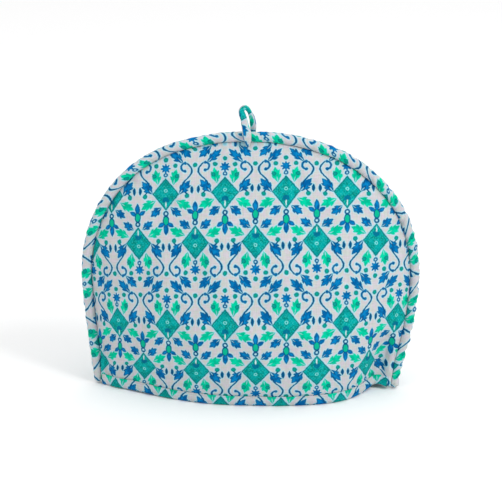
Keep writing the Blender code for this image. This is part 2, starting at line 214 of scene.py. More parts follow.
def face(side, x, z, away=None):
    """y of a panel's outer face at (x, z); side is -1 for the front, 1 for the back."""
    x, z = np.asarray(x, float), np.asarray(z, float)
    belly, hem, folds = (
        (FRONT_BELLY, FRONT_HEM, FRONT_FOLDS) if side < 0 else (BACK_BELLY, BACK_HEM, BACK_FOLDS)
    )
    left, right, y_left, y_right = edge_at(z)
    half = np.maximum((right - left) / 2, 1e-6)
    u = np.clip((x - (left + right) / 2) / half, -1, 1)
    depth = smooth(belly, z)
    bend = np.clip(depth / half, 1e-4, 0.9)
    radius = (1 + bend * bend) / (2 * bend)
    arc = (np.sqrt(np.maximum(radius**2 - u * u, 0)) - (radius - bend)) / bend
    own = np.exp(-((z / UNEVEN_REACH) ** 2))
    plan = own * smooth(hem, u) + (1 - own) * arc
    if away is None:
        away = seam_near(x, z)[0]
    rise = PUFF * (1 - np.exp(-away / PUFF_REACH)) * (0.40 + 0.60 * ease(z, BIND_HIGH - 1, HEM_REACH))
    fold = fold_height(folds, x, z) * ease(away, 0, 10)
    base = y_left * (1 - ease(u, -1, -LEAN_REACH)) + y_right * ease(u, LEAN_REACH, 1)
    apart = PANEL_EDGE + HEM_SPREAD * (1 - ease(z, BIND_HIGH, 30))
    return base + side * (apart + depth * plan + rise + fold)


def thickness(z, away):
    full = EDGE_THICK + (PAD_THICK - EDGE_THICK) * (1 - np.exp(-away / PAD_REACH))
    at_hem = np.minimum(HEM_THICK, full)
    return at_hem + (full - at_hem) * ease(z, BIND_HIGH, HEM_REACH)


def lift(side, x, z):
    total = np.zeros(np.shape(x))
    for at, width, high in FRONT_LIFT if side < 0 else BACK_LIFT:
        total += high * np.exp(-(((x - at) / width) ** 2))
    return total * np.exp(-np.maximum(z, 0) / 40)


def panel_net(low, across, up):
    """x and z of a net that fills the D-shaped panel, with the outward direction on its rim."""
    keep = EDGE[:, 1] >= low
    edge = EDGE[keep]
    run = np.concatenate([[0], np.cumsum(np.linalg.norm(np.diff(edge, axis=0), axis=1))])
    run /= run[-1]

    def along(share):
        return np.stack([np.interp(share, run, edge[:, k]) for k in (0, 1)], -1)

    a, b = np.meshgrid(np.linspace(0, 1, across + 1), np.linspace(0, 1, up + 1), indexing="ij")
    shoulder_l, shoulder_r = 0.30, 0.70
    foot_l, foot_r = along(0.0), along(1.0)
    bottom = foot_l + (foot_r - foot_l) * a[..., None]
    bottom[..., 1] = low
    top = along(shoulder_l + (shoulder_r - shoulder_l) * a)
    left, right = along(shoulder_l * b), along(1 - (1 - shoulder_r) * b)
    a, b = a[..., None], b[..., None]
    corners = (
        (1 - a) * (1 - b) * foot_l
        + a * (1 - b) * foot_r
        + (1 - a) * b * along(shoulder_l)
        + a * b * along(shoulder_r)
    )
    return (1 - b) * bottom + b * top + (1 - a) * left + a * right - corners


# ---------------------------------------------------- small unevenness of cloth
def waves(seed, count, shortest, longest):
    """A fixed set of sine waves: direction, wavelength in mm, phase."""
    draw = np.random.default_rng(seed)
    turn = draw.uniform(0, math.pi, count)
    size = shortest * (longest / shortest) ** draw.uniform(0, 1, count)
    return np.stack([np.cos(turn) / size, np.sin(turn) / size, draw.uniform(0, 1, count)], 1) * 2 * math.pi


def sway(table, x, z):
    return sum(np.sin(kx * x + kz * z + phase) for kx, kz, phase in table) / math.sqrt(len(table) / 2)


SLOW = {-1: waves(11, 9, 34, 70), 1: waves(12, 9, 34, 70)}
QUICK = {-1: waves(21, 12, 11, 24), 1: waves(22, 12, 11, 24)}
PUCKER = {-1: waves(31, 7, 7, 15), 1: waves(32, 7, 7, 15)}

# Puckers and creases that show in the print's shading: a ridge (+) or trough (-) from one end to the other.
FRONT_CREASES = (
    (-139.0, 8.0, -138.5, 44.0, 3.2, -1.3),
    (-132.0, 10.0, -131.0, 48.0, 3.4, 0.7),
    (124.0, 8.0, 131.0, 52.0, 4.0, -2.0),
    (115.0, 8.0, 119.0, 44.0, 4.2, 0.9),
    (-136.0, 6.0, -108.0, 14.0, 2.4, -0.5),
    (-136.0, 12.0, -100.0, 34.0, 3.0, -0.7),
    (-130.0, 20.0, -98.0, 54.0, 3.0, 0.5),
    (-140.0, 30.0, -120.0, 66.0, 3.2, -0.6),
    (-142.0, 52.0, -128.0, 84.0, 3.0, 0.4),
    (-60.0, 8.0, -30.0, 18.0, 3.0, -0.4),
    (-20.0, 12.0, 12.0, 22.0, 3.4, 0.4),
    (60.0, 10.0, 92.0, 30.0, 3.4, -0.5),
    (100.0, 12.0, 118.0, 44.0, 3.0, 0.5),
    (130.0, 30.0, 138.0, 62.0, 2.6, -0.7),
    (138.0, 60.0, 146.0, 92.0, 2.8, -0.4),
    (-148.0, 96.0, -138.0, 130.0, 3.0, -0.4),
    (-30.0, 232.0, -18.0, 214.0, 3.0, -0.4),
    (12.0, 234.0, 16.0, 212.0, 3.0, -0.4),
    (48.0, 226.0, 44.0, 208.0, 3.0, -0.3),
)
BACK_CREASES = (
    (136.0, 12.0, 104.0, 30.0, 3.0, -0.6),
    (-132.0, 14.0, -104.0, 40.0, 3.2, -0.6),
    (20.0, 10.0, 52.0, 24.0, 3.4, 0.4),
    (-14.0, 234.0, -16.0, 210.0, 3.0, -0.4),
    (24.0, 232.0, 28.0, 212.0, 3.0, -0.3),
)


def unevenness(side, x, z, away, run):
    """What the worked cloth adds to the plain padded shape, outwards."""
    inside = ease(away, 2, 22)
    hem = ease(z, BIND_HIGH, 34)
    soft = 0.75 * sway(SLOW[side], x, z) * inside * (0.25 + 0.75 * hem)
    fine = 0.13 * sway(QUICK[side], x, z) * ease(away, 1, 8) * (0.35 + 0.65 * hem)
    pinch = 0.34 * sway(PUCKER[side], run, 0.25 * away) * np.exp(-(((away - 4.0) / 5.5) ** 2))
    crease = fold_height(FRONT_CREASES if side < 0 else BACK_CREASES, x, z) * ease(away, 0, 6)
    stitched = -0.35 * np.exp(-(((z - BIND_HIGH - 0.6) / 1.6) ** 2))
    roll = 2.1 * (np.exp(-away / 11) - np.exp(-away / 2.2)) * (0.3 + 0.7 * hem)
    return 1.15 * soft + 1.3 * fine + pinch + 1.7 * crease * ease(z, 9, 16) + stitched + roll


# ------------------------------------------------------------------- cloth run
def cloth_table(side):
    """Run of the cloth along level lines and up the middle profile, for the print's place."""
    zs = np.linspace(0, 238, 300)
    middle = face(side, np.full(300, 5.0), zs)
    up = np.concatenate([[0], np.cumsum(np.hypot(np.diff(zs), np.diff(middle)))])
    rows = np.linspace(0, 238, 120)
    xs = np.linspace(-168, 168, 420)
    x, z = np.meshgrid(xs, rows, indexing="xy")
    left, right = edge_at(rows)[:2]
    x = np.clip(x, left[:, None], right[:, None])
    y = face(side, x, z)
    run = np.concatenate([np.zeros((120, 1)), np.cumsum(np.hypot(np.diff(x, axis=1), np.diff(y, axis=1)), 1)], 1)
    run -= np.array([np.interp(5.0, x[i], run[i]) for i in range(120)])[:, None]
    return zs, up, rows, xs, run


CLOTH = {side: cloth_table(side) for side in (-1, 1)}


def cloth_at(side, x, z):
    """The print's coordinates, in print units, on a panel: across from a lozenge's axis, and down."""
    zs, up, rows, xs, run = CLOTH[side]
    z = np.clip(z, 0, 238)
    fi = z / 238 * 119
    i = np.clip(fi.astype(int), 0, 118)
    fj = np.clip((x + 168) / 336 * 419, 0, 419)
    j = np.clip(fj.astype(int), 0, 418)
    p, q = fi - i, fj - j
    s = (run[i, j] * (1 - q) + run[i, j + 1] * q) * (1 - p) + (run[i + 1, j] * (1 - q) + run[i + 1, j + 1] * q) * p
    v = np.interp(z, zs, up)
    S, T = s / 100, (v - 120) / 100
    if side < 0:
        across = 0.006 + 106.585 * S + 0.103 * T - 2.08 * S * S + 0.242 * S * T - 0.729 * S**3
        down = (
            93.576 + 1.079 * S - 106.237 * T - 5.888 * S * S + 0.327 * S * S * T + 1.743 * T * T - 0.13 * S**4
        )
        return across + 30.25, down - 3.6 * (np.maximum(T - 0.86, 0) / 0.375) ** 1.2
    return -106.0 * S + 17.0, 71.0 - 106.1 * T - 2.0 * S * S


# --------------------------------------------------------------------- meshes
def shifted(points):
    return (np.asarray(points, float) + np.array([ORIGIN_SHIFT[0], ORIGIN_SHIFT[1], 0])) * MM


def make_mesh(name, points, faces, cloth, materials, kinds=None, flat=()):
    """A mesh object; cloth is one (across, down) per face corner, in print units."""
    mesh = bpy.data.meshes.new(name)
    mesh.from_pydata(shifted(points).tolist(), [], [tuple(f) for f in faces])
    layer = mesh.uv_layers.new(name="cloth")
    layer.data.foreach_set("uv", np.asarray(cloth, np.float32).ravel())
    for made in materials:
        mesh.materials.append(made)
    if kinds is not None:
        mesh.polygons.foreach_set("material_index", np.asarray(kinds, np.int32))
    mesh.polygons.foreach_set("use_smooth", np.ones(len(mesh.polygons), bool))
    mesh.update()
    obj = bpy.data.objects.new(name, mesh)
    bpy.context.scene.collection.objects.link(obj)
    bm = bmesh.new()
    bm.from_mesh(mesh)
    if bm.calc_volume(signed=True) < 0:
        bmesh.ops.reverse_faces(bm, faces=bm.faces[:])
        bm.to_mesh(mesh)
    bm.free()
    mesh.update()
    return obj


def grid_normals(p):
    du = np.gradient(p, axis=0)
    dv = np.gradient(p, axis=1)
    n = np.cross(du, dv)
    return n / np.maximum(np.linalg.norm(n, axis=2, keepdims=True), 1e-9)


def make_panel(name, side, across, up, outside, lining):
    """A closed padded shell: a fine outer face, a coarser inner face, and a rim sewn into the seam."""
    net = panel_net(BIND_CLOTH + BIND_GAP, across, up)
    x, z = net[..., 0], net[..., 1]
    away, run = seam_near(x, z)
    y = face(side, x, z, away) + side * unevenness(side, x, z, away, run)
    outer = np.stack([x, y, z + lift(side, x, z)], -1)
    plain = np.stack([x, face(side, x, z, away), z + lift(side, x, z)], -1)
    normal = grid_normals(plain)
    if (normal[..., 1].sum() > 0) != (side > 0):
        normal = -normal
    thick = thickness(z, away)
    body = plain - normal * thick[..., None]
    quilt = 0.5 * sway(SLOW[-side], x, z) * ease(away, 4, 24) * ease(z, 12, 34)
    inner = (body - normal * quilt[..., None])[::2, ::2]
    na, nb = across + 1, up + 1
    ma, mb = across // 2 + 1, up // 2 + 1
    pu, pv = cloth_at(side, x, z)
    cloth_out = np.stack([pu, pv], -1)
    cloth_in = cloth_out[::2, ::2]

    # the rim's middle line, once round
    ring = (
        [(i, 0) for i in range(across)]
        + [(across, j) for j in range(up)]
        + [(i, up) for i in range(across, 0, -1)]
        + [(0, j) for j in range(up, 0, -1)]
    )
    rim = []
    for i, j in ring:
        mid = (outer[i, j] + body[i, j]) / 2
        if j == 0:
            rim.append(mid + np.array([0, 0, -0.5]))
        else:
            share = np.interp(run[i, j], EDGE_RUN, np.arange(len(EDGE)))
            k = int(round(share))
            rim.append(mid + np.array([NORMAL[k, 0], 0, NORMAL[k, 1]]) * 0.75)
    points = np.concatenate([outer.reshape(-1, 3), inner.reshape(-1, 3), np.array(rim)])
    first_in, first_rim = na * nb, na * nb + ma * mb
    cloth_point = np.concatenate(
        [cloth_out.reshape(-1, 2), cloth_in.reshape(-1, 2), np.array([cloth_out[i, j] for i, j in ring])]
    )
    faces, kinds = [], []
    for i in range(across):
        for j in range(up):
            k = i * nb + j
            faces.append((k, k + nb, k + nb + 1, k + 1))
            kinds.append(0)
    for i in range(ma - 1):
        for j in range(mb - 1):
            k = first_in + i * mb + j
            faces.append((k, k + 1, k + mb + 1, k + mb))
            kinds.append(1)
    count = len(ring)
    for k in range(count):
        (i, j), (i2, j2) = ring[k], ring[(k + 1) % count]
        faces.append((i * nb + j, first_rim + k, first_rim + (k + 1) % count, i2 * nb + j2))
        kinds.append(0)
    for k in range(0, count, 2):
        (i, j), (i2, j2) = ring[k], ring[(k + 2) % count]
        a, b = first_in + (i // 2) * mb + j // 2, first_in + (i2 // 2) * mb + j2 // 2
        r0, r1, r2 = (first_rim + (k + n) % count for n in range(3))
        faces += [(r0, a, r1), (r1, a, b), (r1, b, r2)]
        kinds += [1, 1, 1]
    corners = np.concatenate([np.array(f) for f in faces])
    return make_mesh(name, points, faces, cloth_point[corners], [outside, lining], kinds)


def skin(rows, closed_round=True, caps=True):
    """Faces over rows of points; rows has shape (stations, around, 3)."""
    n, m = rows.shape[:2]
    faces = []
    for i in range(n - 1):
        for j in range(m if closed_round else m - 1):
            k = (j + 1) % m
            faces.append((i * m + j, i * m + k, (i + 1) * m + k, (i + 1) * m + j))
    ends = []
    if caps:
        faces.append(tuple(range(m - 1, -1, -1)))
        faces.append(tuple((n - 1) * m + j for j in range(m)))
    return faces


def strip_cloth(faces, m, u, v, turn):
    """Print coordinates for a tube's face corners, where the last column runs on past the seam."""
    out = []
    for f in faces:
        js = [k % m for k in f]
        wrap = max(js) - min(js) > m // 2 and len(f) == 4
        for k, j in zip(f, js):
            i = k // m
            extra = turn[i] if wrap and j < m // 2 else 0.0
            out.append((u[i, j], v[i, j] + extra))
    return out


PIPE_RINGS = (40.5, 102.0, 165.5, 228.6, 291.6, 357.7, 422.7, 487.7, 549.8, 610.3, 664.3)
PIPE_PHASE = ((0.0, 17.4), (150.0, 17.4), (200.0, 20.6), (440.0, 21.0), (500.0, 17.0), (700.0, 16.4))


def make_piping(name, printed):
    stations, around = 1040, 24
    total = PIPE_RUN[-1]
    at = np.linspace(0, total, stations)
    line = np.stack(
        [
            np.interp(at, PIPE_RUN, PIPE_LINE[:, 0]),
            np.interp(at, PIPE_RUN, PIPE_Y),
            np.maximum(np.interp(at, PIPE_RUN, PIPE_LINE[:, 1]), 0.6),
        ],
        1,
    )
    out = np.stack([np.interp(at, PIPE_RUN, NORMAL[:, 0]), np.zeros(stations), np.interp(at, PIPE_RUN, NORMAL[:, 1])], 1)
    tangent = np.gradient(line, axis=0)
    tangent /= np.linalg.norm(tangent, axis=1)[:, None]
    out -= tangent * (out * tangent).sum(1)[:, None]
    out /= np.linalg.norm(out, axis=1)[:, None]
    front = np.cross(out, tangent)
    front *= np.where(front[:, 1] > 0, -1, 1)[:, None]
    radius = np.interp(at, PIPE_RUN, PIPE_R)
    phi = np.arange(around) / around * 2 * math.pi - math.pi / 2  # 0 faces the front, 90 degrees faces outwards
    draw = np.random.default_rng(5)
    slant = at[:, None] + 5.2 * np.sin(phi)[None, :] * 0.9
    wrinkle = np.zeros((stations, around))
    for size, high in ((6.3, 0.10), (9.1, 0.11), (14.7, 0.13), (23.0, 0.12)):
        wrinkle += high * np.sin(2 * math.pi * slant / size + draw.uniform(0, 6.28) + 0.8 * np.sin(slant / 31 + size))
    tight = np.interp(at / total, [0, 0.08, 0.3, 0.55, 0.72, 0.9, 1.0], [1.1, 1.3, 0.9, 0.8, 1.9, 3.3, 3.1])
    wrinkle *= tight[:, None]
    inner = np.maximum(0, -np.sin(phi))[None, :] ** 3
    r = radius[:, None] * (1 + 0.045 * inner) + wrinkle * (1 - 0.7 * inner) - 0.12
    ends = np.minimum(at, total - at)
    r *= np.sqrt(np.clip(1 - (1 - np.clip(ends / 3.2, 0, 1)) ** 2, 0.04, 1))[:, None]
    rows = line[:, None] + r[..., None] * (front[:, None] * np.cos(phi)[None, :, None] + out[:, None] * np.sin(phi)[None, :, None])
    rows[..., 2] = np.maximum(rows[..., 2], 0.02)
    faces = skin(rows)
    arc = radius[:, None] * phi[None, :] / UNIT
    k = np.interp(at, [0, 60, 150, total], [0, 0.1, 0.5, 0.55])
    length = at[:, None] + k[:, None] * radius[:, None] * np.sin(np.clip(phi, -1.6, 1.6))[None, :] * 1.1
    rings = np.array(PIPE_RINGS)
    knots = np.concatenate([[rings[0] - 62], rings, [rings[-1] + 60]])
    u = 30.25 + np.interp(length, knots, 60.5 * np.arange(-1, len(rings) + 1))
    c = np.interp(at, *np.array(PIPE_PHASE).T)
    v = 49 + c[:, None] + arc
    turn = 2 * math.pi * radius / UNIT
    return make_mesh(name, rows.reshape(-1, 3), faces, strip_cloth(faces, around, u, v, turn), [printed])


def fine_line(rows, count):
    rows = np.array(rows, float)
    knots = np.concatenate([[0], np.cumsum(np.linalg.norm(np.diff(rows[:, :3], axis=0), axis=1))])
    at = np.linspace(0, knots[-1], count)
    return np.stack([smooth(np.stack([knots, rows[:, k]], 1), at) for k in range(rows.shape[1])], 1), at


LOOP_PRINT = (37.5, -52.0)  # the millimetre along the strip that falls on a lozenge, and the angle it was cut at


def make_loop(name, printed):
    """A narrow strip folded in and stitched flat, standing in a loop."""
    stations = 220
    rows, at = fine_line(LOOP, stations)
    line, half = rows[:, :3], rows[:, 3]
    kernel = np.hanning(15)
    kernel /= kernel.sum()
    soft = np.stack([np.convolve(np.pad(line[:, k], 7, "edge"), kernel, "valid") for k in range(3)], 1)
    line = line * 0.3 + soft * 0.7
    tangent = np.gradient(line, axis=0)
    tangent /= np.linalg.norm(tangent, axis=1)[:, None]
    deep = np.tile(np.array([0.0, 1.0, 0.0]), (stations, 1))
    deep -= tangent * (deep * tangent).sum(1)[:, None]
    deep /= np.linalg.norm(deep, axis=1)[:, None]
    wide = np.cross(tangent, deep)
    # the strip's section: it starts inside, runs once round and laps over itself, with its edge on the front
    reach = 46
    turn = np.radians(np.linspace(-78.0, 318.0, reach))  # 0 to the right, -90 to the front
    grow = 0.60 + 0.40 * ease(np.degrees(turn), -78.0, 20.0)
    c, s = np.cos(turn), np.sin(turn)
    w = np.sign(c) * np.abs(c) ** 0.85 * grow
    d = np.sign(s) * np.abs(s) ** 0.8 * grow
    cloth = 0.42
    dw, dd = np.gradient(w), np.gradient(d)
    size = np.hypot(dw, dd)
    nw, nd = dd / size, -dw / size
    run = np.concatenate([[0], np.cumsum(np.hypot(np.diff(w * 3.2), np.diff(d * 3.2 * LOOP_FLAT)))])
    crinkle = 0.16 * np.sin(at[:, None] / 1.7 + 2 * c[None, :]) + 0.20 * np.sin(at[:, None] / 3.3 + 1.3 * s[None, :] + 2)
    sides = []
    for off in (0.0, -cloth):
        a_w = half[:, None] * w[None, :] + off * nw[None, :] + 0.4 * crinkle * c[None, :]
        a_d = half[:, None] * LOOP_FLAT * d[None, :] + off * nd[None, :] + crinkle * s[None, :]
        sides.append(line[:, None] + wide[:, None] * a_w[..., None] + deep[:, None] * a_d[..., None])
    p = np.concatenate([sides[0], sides[1][:, ::-1]], 1)
    around = p.shape[1]
    faces = skin(p, caps=False)
    for end in (0, stations - 1):
        for j in range(reach - 1):
            quad = (j, j + 1, around - 2 - j, around - 1 - j)
            quad = tuple(end * around + k for k in quad)
            faces.append(quad if end else quad[::-1])
    strip = np.concatenate([run, run[::-1]]) / UNIT
    strip = (strip - np.interp(math.radians(272), turn, run) / UNIT)[None, :]
    length = ((at - LOOP_PRINT[0]) / UNIT)[:, None]
    cos, sin = math.cos(math.radians(LOOP_PRINT[1])), math.sin(math.radians(LOOP_PRINT[1]))
    u = length * cos - strip * sin
    v = length * sin + strip * cos
    corner = [(u[k // around, k % around], v[k // around, k % around]) for f in faces for k in f]
    return make_mesh(name, p.reshape(-1, 3), faces, corner, [printed])


def make_binding(name, side, printed):
    """A strip folded round the hem and stitched through, following the panel's lower edge."""
    across = 420
    low = BIND_CLOTH + BIND_GAP
    left_low, right_low = (float(v) for v in edge_at(low)[:2])
    a = np.linspace(0, 1, across + 1)
    # height, distance outwards from the panel's outer face (or inwards from its inner face), for the outer skin
    outer_path = (
        (10.1, 0.10), (10.3, 0.42), (10.1, 0.78), (9.4, 1.00), (8.7, 0.88), (8.1, 0.86), (7.4, 1.16), (6.0, 1.60),
        (4.6, 1.78), (3.2, 1.76), (2.0, 1.66), (1.1, 1.45), (0.45, 1.05), (0.10, 0.50), (0.0, -0.2),
    )
    inner_path = (
        (0.0, -0.2), (0.10, 0.50), (0.45, 1.05), (1.1, 1.4), (2.4, 1.62), (4.6, 1.70), (6.6, 1.55), (7.9, 1.12),
        (8.8, 1.22), (9.8, 1.22), (10.2, 0.85), (10.15, 0.42),
    )
    back_path = (
        (9.4, 0.30), (7.0, 0.45), (4.0, 0.60), (2.2, 0.62), (1.35, 0.30),
    )

    def level(z):
        edge = edge_at(np.array([z]))
        lo, hi = float(edge[0][0]) + BIND_MARGIN[0], float(edge[1][0]) - BIND_MARGIN[1]
        x = lo + (hi - lo) * a
        at = np.full(across + 1, z)
        away, run = seam_near(x, at)
        y = face(side, x, at, away)
        up = lift(side, x, at)
        thick = thickness(at, away)
        d = np.stack([np.gradient(x), np.gradient(y)], 1)
        d /= np.linalg.norm(d, axis=1)[:, None]
        n = np.stack([d[:, 1], -d[:, 0]], 1) * (1 if side < 0 else -1)
        return x, y, up, thick, n

    ripple = 0.16 * np.sin(a * 300 / 5.3) + 0.13 * np.sin(a * 300 / 2.9 + 1) + 0.10 * np.sin(a * 300 / 8.7 + 2)
    section = []
    for inside, path in ((0, outer_path), (1, inner_path[1:]), (1, back_path), (0, back_path[::-1])):
        for z, off in path:
            x, y, up, thick, n = level(z)
            bulge = ripple * math.exp(-(((z - 4.5) / 3.0) ** 2)) * (0.6 if inside else 1.0)
            inner_face = path is back_path
            away = off + (0 if inner_face else bulge)
            reach = -(thick + away) if inside else away
            if z < 1.0 and off < 0:
                reach = -thick / 2
            section.append(np.stack([x + n[:, 0] * reach, y + n[:, 1] * reach, np.full(across + 1, z) + up], 1))
    rows = np.stack(section, 1)
    faces = skin(rows)
    m = rows.shape[1]
    # print coordinates: across follows the panel, down runs over the outer path and round to the inside
    x = left_low + (right_low - left_low) * a
    base, _ = cloth_at(side, x, np.full(across + 1, 5.0))
    run = np.concatenate([[0], np.cumsum(np.linalg.norm(np.diff(rows[across // 2], axis=0), axis=1))])
    u = np.repeat((base + 4.0)[:, None], m, 1)
    v = np.tile((-17.6 + run * 1.0)[None, :], (across + 1, 1))
    corner = []
    for f in faces:
        js = [k % m for k in f]
        for k, j in zip(f, js):
            extra = run[-1] + 1.0 if len(f) == 4 and max(js) - min(js) > m // 2 and j < m // 2 else 0.0
            corner.append((u[k // m, j], v[k // m, j] + extra))
    return make_mesh(name, rows.reshape(-1, 3), faces, corner, [printed])


# ------------------------------------------------------------------ materials
def linear(*rgb):
    return tuple((c / 255 / 12.92) if c <= 10 else ((c / 255 + 0.055) / 1.055) ** 2.4 for c in rgb) + (1.0,)


TREE = None


class Num:
    """A number in the node tree being built, with ordinary arithmetic."""

    def __init__(self, socket):
        self.socket = socket

    def __add__(self, o):
        return calc("ADD", self, o)

    __radd__ = __add__

    def __sub__(self, o):
        return calc("SUBTRACT", self, o)

    def __rsub__(self, o):
        return calc("SUBTRACT", o, self)

    def __mul__(self, o):
        return calc("MULTIPLY", self, o)

    __rmul__ = __mul__

    def __truediv__(self, o):
        return calc("DIVIDE", self, o)

    def __neg__(self):
        return calc("MULTIPLY", self, -1.0)

    def __abs__(self):
        return calc("ABSOLUTE", self)


def put(target, value):
    if isinstance(value, Num):
        TREE.links.new(value.socket, target)
    else:
        target.default_value = value


def calc(operation, *values):
    made = TREE.nodes.new("ShaderNodeMath")
    made.operation = operation
    for target, value in zip(made.inputs, values):
        put(target, value)
    return Num(made.outputs[0])


def lowest(*values):
    result = values[0]
    for value in values[1:]:
        result = calc("MINIMUM", result, value)
    return result


def highest(*values):
    result = values[0]
    for value in values[1:]:
        result = calc("MAXIMUM", result, value)
    return result


def vector(x, y, z=0.0):
    made = TREE.nodes.new("ShaderNodeCombineXYZ")
    for target, value in zip(made.inputs, (x, y, z)):
        put(target, value)
    return Num(made.outputs[0])


def parts(vec):
    made = TREE.nodes.new("ShaderNodeSeparateXYZ")
    put(made.inputs[0], vec)
    return Num(made.outputs[0]), Num(made.outputs[1])


def away_from(vec, x, y):
    made = TREE.nodes.new("ShaderNodeVectorMath")
    made.operation = "DISTANCE"
    put(made.inputs[0], vec)
    made.inputs[1].default_value = (x, y, 0)
    return Num(made.outputs["Value"])


def local(vec, x, y, degrees, wide=1.0, high=1.0):
    """Coordinates round (x, y), turned and scaled."""
    made = TREE.nodes.new("ShaderNodeMapping")
    made.vector_type = "TEXTURE"
    put(made.inputs["Vector"], vec)
    made.inputs["Location"].default_value = (x, y, 0)
    made.inputs["Rotation"].default_value = (0, 0, math.radians(degrees))
    made.inputs["Scale"].default_value = (wide, high, 1)
    return Num(made.outputs[0])


def step(value, start, end):
    """A soft step from 0 at start to 1 at end."""
    made = TREE.nodes.new("ShaderNodeMapRange")
    made.interpolation_type = "SMOOTHSTEP"
    put(made.inputs["Value"], value)
    made.inputs["From Min"].default_value = start
    made.inputs["From Max"].default_value = end
    return Num(made.outputs[0])


def mix(share, a, b):
    made = TREE.nodes.new("ShaderNodeMix")
    made.data_type = "RGBA"
    put(made.inputs["Factor"], share)
    put(made.inputs[6], a)
    put(made.inputs[7], b)
    return Num(made.outputs[2])


def noise(vec, scale, detail=2.0, rough=0.5):
    made = TREE.nodes.new("ShaderNodeTexNoise")
    made.noise_dimensions = "2D"
    put(made.inputs["Vector"], vec)
    made.inputs["Scale"].default_value = scale
    made.inputs["Detail"].default_value = detail
    made.inputs["Roughness"].default_value = rough
    return Num(made.outputs[0])


# Shapes of the print: each gives roughly the distance to the shape's edge, less than 0 inside.
def dot(vec, x, y, radius):
    return away_from(vec, x, y) - radius


def leaf(vec, base, tip, half, teeth=0.0, bite=0.0, bend=0.0, fat=0.0):
    """A pointed leaf from base to tip; teeth along its edge lean to the tip, bend bows it sideways."""
    dx, dy = tip[0] - base[0], tip[1] - base[1]
    reach = math.hypot(dx, dy) / 2
    spot = local(vec, (base[0] + tip[0]) / 2, (base[1] + tip[1]) / 2, math.degrees(math.atan2(dy, dx)), reach, 1.0)
    along, side = parts(spot)
    hull = 1.0 - along * along
    if bend:
        side = side - hull * bend
    side = abs(side)
    wide = hull * half
    if fat:
        wide = wide * highest(1.0 - along * fat, 0.2)
    if bite:
        saw = calc("FRACT", along * (teeth / 2) - side * (0.12 * teeth / 2))
        wide = wide * (1.0 - saw * bite)
    return side - wide


def arc(vec, x, y, radius, half):
    return abs(away_from(vec, x, y) - radius) - half


def sprig(vec, base, tip, half):
    """The print's one leaf, in several sizes: a blade, two pairs of side lobes and a slit for its midrib."""
    dx, dy = tip[0] - base[0], tip[1] - base[1]
    reach = math.hypot(dx, dy)
    ux, uy = dx / reach, dy / reach

    def at(along, side):
        return (base[0] + ux * along * reach - uy * side * half, base[1] + uy * along * reach + ux * side * half)

    made = leaf(vec, base, tip, half, 6.0, 0.2)
    for root, end, out in ((0.20, 0.50, 1.35), (0.45, 0.78, 1.15)):
        for side in (-out, out):
            made = lowest(made, leaf(vec, at(root, 0), at(end, side), half * 0.42))
    return highest(made, -(leaf(vec, at(-0.05, 0), at(0.40, 0), half * 0.17)))


